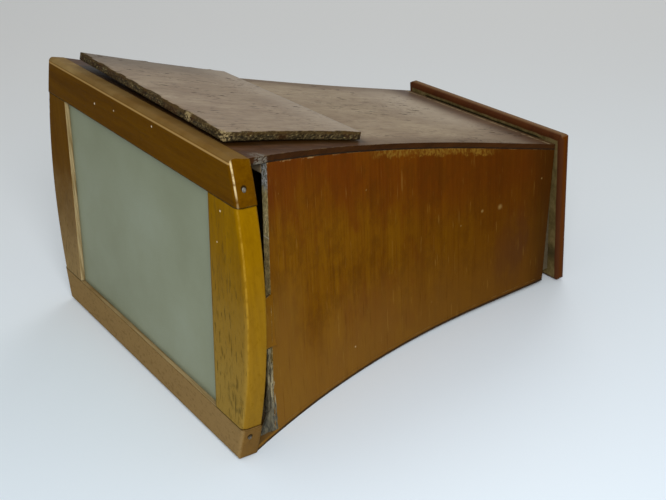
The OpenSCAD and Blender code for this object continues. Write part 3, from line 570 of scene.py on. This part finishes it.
def eyepiece_board_wood(name, shift):
    """Red-brown polished board; its face towards the case is bare within the case's outline."""
    finish = Finish(name)
    tone, fibre = grain_lines(finish, "z", 30.0, 0.045, 1.2, shift)
    wood = finish.shades(tone, [(0.38, (0.055, 0.012, 0.0006)), (0.5, (0.085, 0.021, 0.001)),
                                (0.64, (0.12, 0.034, 0.002))])
    pores = pore_dashes(finish, "z", 12.0, 1.0, 0.62, 0.7, shift)
    wood = finish.over(pores, wood, (0.03, 0.01, 0.003), 0.4)
    height = finish.along(ORIGIN, UP)
    low_down = finish.span(height, 75.0, 0.0, 0.0, 0.15)
    wood = finish.over(low_down, wood, (0.13, 0.065, 0.028))
    # painted sheen: faces that look up are lighter and greyer
    painted_top_sheen = finish.facing_to(UP, 0.6, 0.9)
    wood = finish.over(painted_top_sheen, wood, (0.27, 0.17, 0.085), 0.5)
    purple = finish.facing_to(FRONT, 0.3, 0.8)
    wood = finish.over(purple, wood, (0.06, 0.022, 0.011), 0.6)
    dots = finish.specks(0.11, 0.42, shift)
    wood = finish.over(dots, wood, (0.55, 0.36, 0.2), 0.8)
    normal, turn = finish.arris(0.0007)
    chafe = finish.drawn("z", 1.5, shift, 0.35, 4.0, 0.65)
    worn = finish.times(finish.span(turn, 0.03, 0.2), finish.span(chafe, 0.46, 0.6))
    wood = finish.over(worn, wood, (0.34, 0.17, 0.06), 0.4)
    aside = finish.absolute(finish.across())
    spread = finish.plus(aside, finish.times(height, 0.012))
    wobble = finish.times(finish.drawn("z", 3.0, shift, 0.2, 3.0), 0.8)
    inside = finish.fall(finish.plus(spread, wobble), 53.9, 54.4)
    over_case = finish.plus(finish.along(TOP_EDGE, TOP_UP), wobble)
    inside = finish.times(inside, finish.fall(over_case, 1.7, 2.2))
    bare = finish.shades(chafe, [(0.38, (0.09, 0.063, 0.022)), (0.5, (0.122, 0.086, 0.031)),
                                 (0.64, (0.16, 0.115, 0.046))])
    # painted shade: a dark band low on the bare face, in the crease above the top board, ending short of the
    # sides
    painted_gap_shade = finish.times(finish.within(over_case, -4.0, 0.9, 0.3), finish.fall(aside, 40.0, 44.0))
    bare = finish.over(painted_gap_shade, bare, (0.012, 0.011, 0.004), 0.9)
    damp = finish.within(finish.plus(height, finish.times(chafe, 8.0)), 15.0, 22.0, 3.0)
    bare = finish.over(damp, bare, (0.03, 0.022, 0.009), 0.7)
    face = finish.times(finish.facing_to(FRONT, 0.85, 0.97), inside)
    wood = finish.over(face, wood, bare)
    finish.colour(wood)
    satin = finish.span(fibre, 0.3, 0.7, 0.25, 0.36)
    finish.gloss(finish.most(satin, finish.times(face, 0.8)), 0.015, (1.0, 0.6, 0.25))
    finish.relief(finish.minus(finish.times(fibre, 0.5), pores), 0.00004, normal)


def bare_wood(name, grain, shift, painted_shade=0.0):
    """Unpolished inner wood, greyed and dust-laden, darkened by an amount of painted shade."""
    finish = Finish(name)
    tone, fibre = grain_lines(finish, grain, 20.0, 0.12, 1.4, shift)
    wood = finish.shades(tone, [(0.3, (0.12, 0.085, 0.045)), (0.5, (0.25, 0.19, 0.11)),
                                (0.72, (0.36, 0.29, 0.18))])
    stain = finish.drawn(grain, 2.0, shift, 0.09, 4.0, 0.6)
    wood = finish.over(finish.span(stain, 0.48, 0.7, 0.0, 0.6), wood, (0.1, 0.08, 0.05))
    pores = pore_dashes(finish, grain, 9.0, 1.3, 0.6, 0.7, shift)
    wood = finish.over(pores, wood, (0.07, 0.05, 0.03), 0.5)
    # painted shade laid over the wood by the given amount
    wood = finish.over(painted_shade, wood, (0.052, 0.037, 0.017))
    normal, turn = finish.arris(0.0005)
    wood = finish.over(finish.span(turn, 0.05, 0.3, 0.0, 0.4), wood, (0.42, 0.34, 0.22))
    finish.colour(wood)
    finish.gloss(finish.span(fibre, 0.3, 0.7, 0.7, 0.85), 0.3)
    finish.relief(finish.minus(fibre, pores), 0.00008, normal)


def turned_dark_wood(name):
    """Dark polished wood of the eyepiece rims."""
    finish = Finish(name)
    tone, fibre = grain_lines(finish, "x", 26.0, 0.2, 1.6, (5, 3, 8))
    wood = finish.shades(tone, [(0.3, (0.02, 0.009, 0.004)), (0.5, (0.045, 0.019, 0.008)),
                                (0.72, (0.085, 0.036, 0.014))])
    normal, turn = finish.arris(0.0005)
    chafe = finish.drawn("x", 1.3, ORIGIN, 0.5, 4.0, 0.65)
    worn = finish.times(finish.span(turn, 0.03, 0.25), finish.span(chafe, 0.45, 0.6))
    wood = finish.over(worn, wood, (0.2, 0.11, 0.05), 0.5)
    finish.colour(wood)
    finish.gloss(finish.span(chafe, 0.3, 0.7, 0.26, 0.4), 0.25, (1.0, 0.85, 0.7), 0.08, 0.2)
    finish.relief(fibre, 0.00004, normal)


def torn_wood(name):
    """Grey splintered wood, with dark clefts along its fibres."""
    finish = Finish(name)
    tone, fibre = grain_lines(finish, "z", 9.0, 0.5, 1.6, (2, 5, 4))
    wood = finish.shades(tone, [(0.36, (0.095, 0.078, 0.045)), (0.5, (0.21, 0.175, 0.1)),
                                (0.64, (0.38, 0.33, 0.2))])
    cleft = pore_dashes(finish, "z", 5.0, 1.3, 0.52, 0.6, (6, 3, 1))
    wood = finish.over(cleft, wood, (0.02, 0.018, 0.015), 0.6)
    foot = finish.span(finish.along(ORIGIN, UP), 24.0, 8.0, 0.0, 0.6)
    wood = finish.over(foot, wood, (0.042, 0.046, 0.043))
    finish.colour(wood)
    finish.gloss(finish.span(fibre, 0.3, 0.7, 0.75, 0.9), 0.1)
    finish.relief(finish.minus(fibre, cleft), 0.0002)


# Glass and metals
def ground_glass(name):
    """Grey-green frosted pane, darker along its rim with dirt and painted shade."""
    finish = Finish(name)
    even = finish.stretched("x", 1.0, (4, 2, 6))
    cloud = finish.noise(even, 0.02, 4.0, 0.55)
    pane = finish.shades(cloud, [(0.3, (0.215, 0.232, 0.14)), (0.5, (0.245, 0.265, 0.168)),
                                 (0.7, (0.275, 0.3, 0.205))])
    height = finish.along(FRAME_FOOT, FRAME_UP)
    to_side = finish.minus(OPENING_HALF * MM, finish.absolute(finish.across()))
    to_foot = finish.minus(height, LOWER_JOINT * MM)
    to_head = finish.minus(UPPER_JOINT * MM, height)
    rim = finish.least(finish.least(to_side, to_foot), to_head)
    smear = finish.noise(even, 0.12, 4.0, 0.65)
    # dirt and painted shade along the rim, where the frame meets the pane
    rim_grime_and_shade = finish.fall(finish.minus(rim, finish.times(smear, 2.5)), -1.2, 1.6)
    pane = finish.over(rim_grime_and_shade, pane, (0.1, 0.11, 0.07), 0.4)
    pane = finish.over(finish.span(height, 40.0, 110.0, 0.0, 0.3), pane, (0.17, 0.185, 0.1))
    spots = finish.specks(0.06, 0.5, (6, 1, 3))
    pane = finish.over(spots, pane, (0.13, 0.14, 0.1), 0.35)
    frost = finish.noise(even, 3.0, 3.0, 0.7)
    finish.colour(pane)
    finish.gloss(finish.span(frost, 0.3, 0.7, 0.5, 0.62), 0.3)
    finish.feed(finish.shader, {"Transmission Weight": 0.1, "IOR": 1.5})
    finish.relief(frost, 0.00002)


def lens_glass(name):
    """Clear glass under a thin film."""
    finish = Finish(name)
    film = finish.drawn("x", 1.0, ORIGIN, 0.25, 4.0, 0.6)
    finish.colour(finish.shades(film, [(0.3, (0.9, 0.95, 0.94)), (0.7, (0.97, 0.99, 0.98))]))
    finish.gloss(finish.span(film, 0.4, 0.75, 0.015, 0.06), 0.5)
    finish.feed(finish.shader, {"Transmission Weight": 1.0, "IOR": 1.5})


def metal(name, deep, middle, light, tarnish, grain, roughness, shift, stained=0.75):
    """Drawn metal with stains, bright at its edges."""
    finish = Finish(name)
    even = finish.stretched("x", 1.0, shift)
    brushed = finish.drawn(grain, 14.0, shift, 2.2, 4.0, 0.6)
    sheet = finish.shades(brushed, [(0.3, deep), (0.5, middle), (0.7, light)])
    stain = finish.span(finish.noise(even, 0.3, 5.0, 0.65), 0.48, 0.68)
    sheet = finish.over(finish.times(stain, stained), sheet, tarnish)
    normal, turn = finish.arris(0.0003)
    sheet = finish.over(finish.span(turn, 0.05, 0.3, 0.0, 0.6), sheet, light)
    finish.colour(sheet)
    finish.gloss(finish.span(stain, 0.0, 1.0, roughness, roughness + 0.25), 0.5)
    finish.feed(finish.shader, {"Metallic": 1.0})
    finish.relief(finish.minus(brushed, finish.times(stain, 0.4)), 0.00003, normal)


# Nail places on the right rail ends, mirrored to the left
def rail_end(side, back, up):
    """A spot on a rail's bowed end, and its outward direction."""
    turn = math.asin((up - FRAME_H / 2) / (BOW_RADIUS + RAIL_PROUD))
    reach = BOW_CENTRE + (BOW_RADIUS + RAIL_PROUD) * math.cos(turn)
    spot = FRAME_FOOT + FRAME_BACK * (back - FRAME_T) + FRAME_UP * up + Vector((side * reach, 0.0, 0.0))
    outward = Vector((side * math.cos(turn), 0.0, 0.0)) + FRAME_UP * math.sin(turn)
    return spot, outward.normalized()


TOP_NAILS = [rail_end(side, 0.0036, 0.1087) for side in (1, -1)]
BOTTOM_NAILS = [rail_end(side, 0.0031, 0.0114) for side in (1, -1)]

# Finishes of the CAD nodes
YELLOW = ((0.145, 0.067, 0.0003), (0.195, 0.092, 0.0004), (0.24, 0.119, 0.0007))
BROWN = ((0.07, 0.026, 0.0003), (0.1, 0.039, 0.0004), (0.13, 0.055, 0.0006))
BAR_DUST = (0.2, 0.12, 0.04)
# each bar's tuple of strength, colour and two heights is its painted highlight along the corners
frame_bar_wood("top_rail_wood", "x", BROWN, (0.115, 0.05, 0.0012), 0.2, (1, 2, 3), (0.29, 0.195, 0.075),
               (0.8, (0.75, 0.58, 0.3), 104.0, 110.0), nails=[spot for spot, _ in TOP_NAILS],
               chips=[((-0.031, -0.0924, 0.1104), 0.0006), ((-0.0117, -0.0922, 0.1122), 0.0004),
                      ((0.023, -0.092, 0.1149), 0.0005)])
frame_bar_wood("bottom_rail_wood", "x", BROWN, (0.285, 0.183, 0.072), 0.12, (7, 1, 4), BAR_DUST,
               (0.3, (0.36, 0.22, 0.07), 0.0, 1.0), nails=[spot for spot, _ in BOTTOM_NAILS])
frame_bar_wood("left_stile_wood", "z", BROWN, (0.32, 0.22, 0.095), 0.35, (2, 6, 5), BAR_DUST,
               (0.3, (0.36, 0.22, 0.05), 0.0, 1.0), dust_top=98.0)
frame_bar_wood("right_stile_wood", "z", YELLOW, (0.295, 0.19, 0.042), 0.62, (8, 3, 2), BAR_DUST,
               (0.45, (0.46, 0.27, 0.03), 10.0, 85.0), knot=(0.0806, -0.0982, 0.0272),
               chips=[((0.0742, -0.0932, 0.0984), 0.0005), ((0.0712, -0.0941, 0.0858), 0.0004)])
ground_glass("ground_glass")
case_side_wood("side_panel_wood", (3, 7, 1), False)
case_side_wood("bottom_board_wood", (3, 7, 1), True)
eyepiece_board_wood("eyepiece_board_wood", (6, 2, 7))
top_wood("top_board_wood", (2, 3, 6), False)
top_wood("lid_wood", (11, 5, 2), True)
bare_wood("bare_wood_across", "x", (1, 5, 2))
bare_wood("bare_wood_upright", "z", (3, 1, 7))
bare_wood("bare_wood_long", "y", (8, 4, 3))
# the draw strips, seen in the narrow gap, are darkened with painted shade
bare_wood("draw_wood", "y", (5, 6, 1), 0.82)
torn_wood("torn_wood")
turned_dark_wood("turned_dark_wood")
lens_glass("lens_glass")
metal("aged_brass", (0.36, 0.23, 0.07), (0.55, 0.38, 0.13), (0.72, 0.53, 0.22), (0.12, 0.085, 0.035), "x",
      0.28, (1, 4, 6))
metal("tinned_sheet", (0.26, 0.26, 0.25), (0.38, 0.38, 0.37), (0.5, 0.5, 0.49), (0.22, 0.2, 0.17), "x", 0.6,
      (5, 2, 1), 0.3)
metal("nail_iron", (0.12, 0.11, 0.09), (0.2, 0.185, 0.155), (0.32, 0.3, 0.26), (0.07, 0.045, 0.02), "z", 0.6,
      (2, 2, 9))


def both(*names):
    """Names of the left and the right one of each pair."""
    return [side + name for name in names for side in ("left_", "right_")]


NODES = {
    "top_rail_wood": ["frame_top_rail"],
    "bottom_rail_wood": ["frame_bottom_rail"],
    "left_stile_wood": ["frame_left_stile"],
    "right_stile_wood": ["frame_right_stile"],
    "ground_glass": ["ground_glass"],
    "bare_wood_across": ["top_glazing_slip", "bottom_glazing_slip", "top_card_stop", "bottom_card_stop"],
    "bare_wood_upright": both("glazing_slip"),
    "bare_wood_long": ["septum"],
    "bottom_board_wood": ["bottom_board"],
    "top_board_wood": ["top_board"],
    "side_panel_wood": both("side_panel"),
    "lid_wood": ["lid_board"],
    "tinned_sheet": ["lid_reflector"],
    "eyepiece_board_wood": ["eyepiece_board"],
    "draw_wood": ["draw_left_strip", "draw_right_strip", "draw_top_strip", "draw_bottom_strip"],
    "turned_dark_wood": both("eyepiece_rim"),
    "lens_glass": both("lens"),
    "aged_brass": [*both("lens_ring", "hinge_lid_leaf", "hinge_body_leaf", "hinge_pin"),
                   "lid_hinge_screws", "body_hinge_screws"],
}


def dress(piece, finish):
    """Gives a piece one finish in all its material slots."""
    if not piece.material_slots:
        piece.data.materials.append(finishes[finish])
    for place in piece.material_slots:
        place.material = finishes[finish]


for finish, nodes in NODES.items():
    for node in nodes:
        dress(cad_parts[node], finish)


# Modelling by hand
def only(piece):
    """Selects one piece alone and makes it the active one."""
    bpy.ops.object.select_all(action="DESELECT")
    piece.select_set(True)
    bpy.context.view_layer.objects.active = piece


def put(name, data):
    """A new object in the scene."""
    thing = bpy.data.objects.new(name, data)
    bpy.context.scene.collection.objects.link(thing)
    return thing


def fresh(tool, **settings):
    """A new object made by one of the add tools, selected alone."""
    bpy.ops.object.select_all(action="DESELECT")
    tool(**settings)
    return bpy.context.object


def mode(name):
    bpy.ops.object.mode_set(mode=name)


def merged_copy(node, name):
    """A separate copy of a CAD node's mesh, with its loose triangles joined."""
    piece = put(name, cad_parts[node].data.copy())
    only(piece)
    mode("EDIT")
    bpy.ops.mesh.select_all(action="SELECT")
    bpy.ops.mesh.remove_doubles(threshold=0.000002)
    bpy.ops.mesh.dissolve_limited(angle_limit=math.radians(0.6))
    mode("OBJECT")
    return piece


def cut_across(piece, normal, places):
    """Cuts new edges into a piece along planes, so that it can bend there."""
    only(piece)
    mode("EDIT")
    for spot in places:
        bpy.ops.mesh.select_all(action="SELECT")
        bpy.ops.mesh.bisect(plane_co=spot, plane_no=normal)
    mode("OBJECT")


def apply_all(piece):
    """Makes the work of all modifiers part of the mesh."""
    only(piece)
    for modifier in [m.name for m in piece.modifiers]:
        bpy.ops.object.modifier_apply(modifier=modifier)


def roughen(piece, lump, strength, middle, group=""):
    """Makes a piece ragged with a cloud pattern, all over or in one group of its points."""
    cloud = bpy.data.textures.new("rag", "CLOUDS")
    cloud.noise_scale = lump
    rag = piece.modifiers.new("rag", "DISPLACE")
    rag.texture = cloud
    rag.texture_coords = "LOCAL"
    rag.vertex_group = group
    rag.strength = strength
    rag.mid_level = middle
    apply_all(piece)


# The warped lid: the front left corner stands up
lid_low, lid_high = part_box("lid_board")
LID_ROUND = 0.0006
WORN_DEEP = 0.062
ARRIS_TILT = (0.4, 0.9)


def warp(piece):
    """Lifts a piece of the lid at its front left corner, with a lattice round the lid."""
    cage = fresh(bpy.ops.object.add, type="LATTICE", location=(lid_low + lid_high) / 2)
    cage.scale = lid_high - lid_low
    for way in "uvw":
        setattr(cage.data, "interpolation_type_" + way, "KEY_LINEAR")
    for point in cage.data.points:
        if point.co.x < 0.0 and point.co.y < 0.0:
            lifted = point.co.copy()
            lifted.z += LID_LIFT / cage.scale.z
            point.co_deform = lifted
    bpy.context.view_layer.update()
    bend = piece.modifiers.new("warp", "LATTICE")
    bend.object = cage
    apply_all(piece)
    bpy.data.objects.remove(cage, do_unlink=True)


def wear_arris(piece):
    """Makes the upper arris of a piece of the lid ragged, apart from the hinge side."""
    arris = piece.vertex_groups.new(name="arris")
    for vertex in piece.data.vertices:
        tilt = vertex.normal.dot(TOP_UP)
        behind = (vertex.co - TOP_EDGE).dot(TOP_BACK)
        if ARRIS_TILT[0] < tilt < ARRIS_TILT[1] and behind < WORN_DEEP:
            arris.add([vertex.index], 1.0, "REPLACE")
    roughen(piece, 0.0028, 0.001, 0.55, arris.name)


def lid_piece(node, name, round_edge, wide, deep):
    """A warped copy of a piece of the lid, cut into wide by deep fields; its edges are worn if rounded."""
    piece = merged_copy(node, name)
    across = [(lid_low.x + (lid_high.x - lid_low.x) * step / wide, 0.0, 0.0) for step in range(1, wide)]
    down = [TOP_EDGE + TOP_BACK * LID_DEEP * step / deep for step in range(1, deep)]
    if round_edge > 0.0:
        soften = piece.modifiers.new("soft_arris", "BEVEL")
        soften.width = round_edge
        soften.segments = 2
        soften.limit_method = "ANGLE"
        soften.angle_limit = math.radians(50.0)
        apply_all(piece)
    cut_across(piece, RIGHT, across)
    cut_across(piece, tuple(TOP_BACK), down)
    if round_edge > 0.0:
        wear_arris(piece)
    warp(piece)
    only(piece)
    bpy.ops.object.shade_smooth_by_angle(angle=math.radians(35.0))
    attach(piece, "lid")
    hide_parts(node)
    return piece


dress(lid_piece("lid_board", "warped_lid", LID_ROUND, 60, 28), "lid_wood")
dress(lid_piece("lid_reflector", "warped_reflector", 0.0, 12, 8), "tinned_sheet")


# Nails that hold the frame's rails
NAIL_RADIUS = 0.00095
NAIL_HEIGHT = 0.0009
NAIL_RIM = 0.0003
NAIL_CROWN = (0.0, 0.0, 0.00012)
NAIL_DISH = (0.00005, 0.0, -0.00008)
NAIL_SUNK = 0.00035
NAIL_OVAL = Matrix.Diagonal((1.0, 0.8, 1.0, 1.0))


def nail_head():
    """A flat hammered head, a little dished, facing up; the pattern for all nails."""
    piece = fresh(bpy.ops.mesh.primitive_cylinder_add, vertices=12, radius=NAIL_RADIUS, depth=NAIL_HEIGHT)
    mode("EDIT")
    bpy.context.tool_settings.mesh_select_mode = (False, False, True)
    bpy.ops.mesh.select_all(action="DESELECT")
    mode("OBJECT")
    for face in piece.data.polygons:
        face.select = face.normal.z > 0.9
    mode("EDIT")
    bpy.ops.mesh.inset(thickness=NAIL_RIM)
    bpy.ops.transform.translate(value=NAIL_CROWN)
    bpy.ops.mesh.inset(thickness=NAIL_RIM)
    bpy.ops.transform.translate(value=NAIL_DISH)
    mode("OBJECT")
    return piece


def drive_nail(pattern, number, spot, outward):
    """A copy of the nail head, sunk into the end of a rail."""
    piece = put("rail_nail_%d" % number, pattern.data.copy())
    turn = Vector(UP).rotation_difference(outward).to_matrix().to_4x4()
    piece.data.transform(Matrix.Translation(spot - outward * NAIL_SUNK) @ turn @ NAIL_OVAL)
    only(piece)
    bpy.ops.object.shade_smooth_by_angle(angle=math.radians(40.0))
    dress(piece, "nail_iron")
    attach(piece, "case")


pattern = nail_head()
for number, (spot, outward) in enumerate(TOP_NAILS + BOTTOM_NAILS):
    drive_nail(pattern, number, spot, outward)
bpy.data.objects.remove(pattern, do_unlink=True)


# Torn slivers at the foot of the right panel's front end
ROOT = 0.001
TORN_TOP = (0.0, -0.35, 0.94)
CUTS_UP = 24
CUTS_BACK = 4


def sliver(name, foot, forward, length, width, finish, top=1.0):
    """An upright torn splinter: a wedge rooted in the panel, ragged all over."""
    foot = Vector(foot)
    piece = fresh(bpy.ops.mesh.primitive_cube_add, size=1.0)
    piece.name = name
    middle = foot + Vector((0.0, (ROOT - forward) / 2, length / 2))
    piece.data.transform(Matrix.Translation(middle) @ Matrix.Diagonal((width, forward + ROOT, length, 1.0)))
    slope = Vector((0.0, -length, forward)).normalized()
    mode("EDIT")
    sides = ((foot - Vector((0.0, forward, 0.0)), slope), (foot + Vector((0.0, 0.0, length * top)), TORN_TOP))
    for spot, normal in sides:
        bpy.ops.mesh.select_all(action="SELECT")
        bpy.ops.mesh.bisect(plane_co=spot, plane_no=normal, use_fill=True, clear_outer=True)
    mode("OBJECT")
    rises = [length * step / CUTS_UP for step in range(1, CUTS_UP)]
    cut_across(piece, UP, [foot + Vector((0.0, 0.0, rise)) for rise in rises])
    reaches = [forward * step / CUTS_BACK for step in range(1, CUTS_BACK)]
    cut_across(piece, BACK, [foot - Vector((0.0, reach, 0.0)) for reach in reaches])
    only(piece)
    roughen(piece, 0.0035, 0.0009, 0.6)
    dress(piece, finish)
    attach(piece, "case")


sliver("torn_sliver_0", (0.0738, -0.0799, 0.0024), 0.0034, 0.026, 0.0011, "torn_wood")
sliver("torn_sliver_1", (0.0748, -0.0799, 0.0024), 0.0028, 0.036, 0.0011, "torn_wood")
sliver("torn_sliver_2", (0.0757, -0.0799, 0.0024), 0.0022, 0.030, 0.0011, "torn_wood")
sliver("torn_sliver_3", (0.0752, -0.0799, 0.0022), 0.0068, 0.013, 0.0014, "torn_wood")
sliver("torn_tongue", (0.07625, -0.0776, 0.0395), 0.0046, 0.062, 0.0009, "side_panel_wood", 0.35)


# Floor, light and camera
def floor_finish():
    """Pale floor, a little bluer towards the front."""
    finish = Finish("pale_floor")
    depth = finish.along(ORIGIN, (-0.837, 0.547, 0.0))
    cloud = finish.drawn("x", 1.0, ORIGIN, 0.01, 3.0, 0.5)
    depth = finish.plus(depth, finish.times(cloud, 60.0))
    tone = finish.span(depth, -300.0, 600.0)
    finish.colour(finish.shades(tone, [(0.0, (0.78, 0.88, 0.97)), (0.45, (0.83, 0.88, 0.91)),
                                       (1.0, (0.82, 0.825, 0.815))]))
    finish.gloss(0.9, 0.1)


floor_finish()
floor = fresh(bpy.ops.mesh.primitive_plane_add, size=8.0, location=ORIGIN)
floor.name = "floor"
dress(floor, "pale_floor")


def soft_lamp(name, place, aim, size, power):
    """A round white lamp at a place, turned to what it lights."""
    data = bpy.data.lights.new(name, "AREA")
    data.shape = "DISK"
    data.size = size
    data.energy = power
    lamp = put(name, data)
    lamp.location = place
    lamp.rotation_euler = (Vector(aim) - Vector(place)).to_track_quat("-Z", "Y").to_euler()


soft_lamp("front_lamp", (0.56, -0.3, 0.46), (0.02, -0.02, 0.05), 0.35, 3.8)
soft_lamp("back_lamp", (-0.9, 1.1, 1.1), (0.0, 0.0, 0.05), 0.9, 5.0)
world = bpy.data.worlds.new("room")
world.use_nodes = True
tree = world.node_tree
room = tree.nodes["Background"]
room.inputs["Color"].default_value = (0.97, 0.99, 1.0, 1.0)
LIT_BY = 0.42
SEEN_AS = 0.55


def joined(kind, first, second):
    """Two values of the room's nodes made into one."""
    node = tree.nodes.new("ShaderNodeMath")
    node.operation = kind
    tree.links.new(first, node.inputs[0])
    tree.links.new(second, node.inputs[1])
    return node.outputs[0]


# The room is seen a little brighter than it lights: straight, mirrored and through glass
ray = tree.nodes.new("ShaderNodeLightPath").outputs
seen = joined("ADD", ray["Is Camera Ray"], ray["Is Glossy Ray"])
seen = joined("MAXIMUM", seen, ray["Is Transmission Ray"])
level = tree.nodes.new("ShaderNodeMapRange")
level.inputs["To Min"].default_value = LIT_BY
level.inputs["To Max"].default_value = SEEN_AS
tree.links.new(seen, level.inputs["Value"])
tree.links.new(level.outputs["Result"], room.inputs["Strength"])
bpy.context.scene.world = world
bpy.context.scene.view_settings.view_transform = "Standard"

camera_data = bpy.data.cameras.new("camera")
camera_data.sensor_width = 36.0
camera_data.lens = 58.1012
camera_data.clip_start = 0.01
camera = put("camera", camera_data)
camera.location = (0.376884, -0.245568, 0.247901)
camera.rotation_euler = (math.radians(63.6316), math.radians(2.769), math.radians(55.4838))
bpy.context.scene.camera = camera
